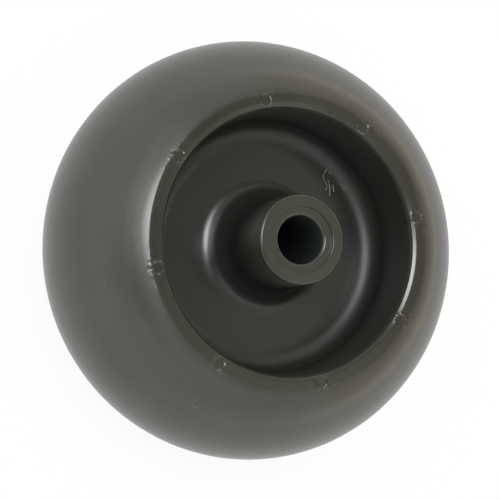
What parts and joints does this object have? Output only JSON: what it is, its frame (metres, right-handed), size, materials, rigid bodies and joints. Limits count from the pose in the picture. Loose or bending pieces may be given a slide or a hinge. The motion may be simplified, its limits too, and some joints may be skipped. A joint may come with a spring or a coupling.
{
  "type": "mower gauge roller",
  "caption": "Barrel-shaped moulded deck roller with a deep recess in each side and a tubular hub that turns on an axle bolt.",
  "frame": {"origin": "middle of the wheel, on the axle line, halfway between the two ends of the hub", "axes": "+Z along the axle, out of the side with the ejector pin marks; +X through one of those marks"},
  "size_m": [0.127, 0.127, 0.0762],
  "materials": {
    "wheel_plastic": "satin moulded plastic, dark charcoal right through"
  },
  "bodies": {
    "root": {"gauge_wheel": "wheel_plastic"}
  },
  "joints": []
}
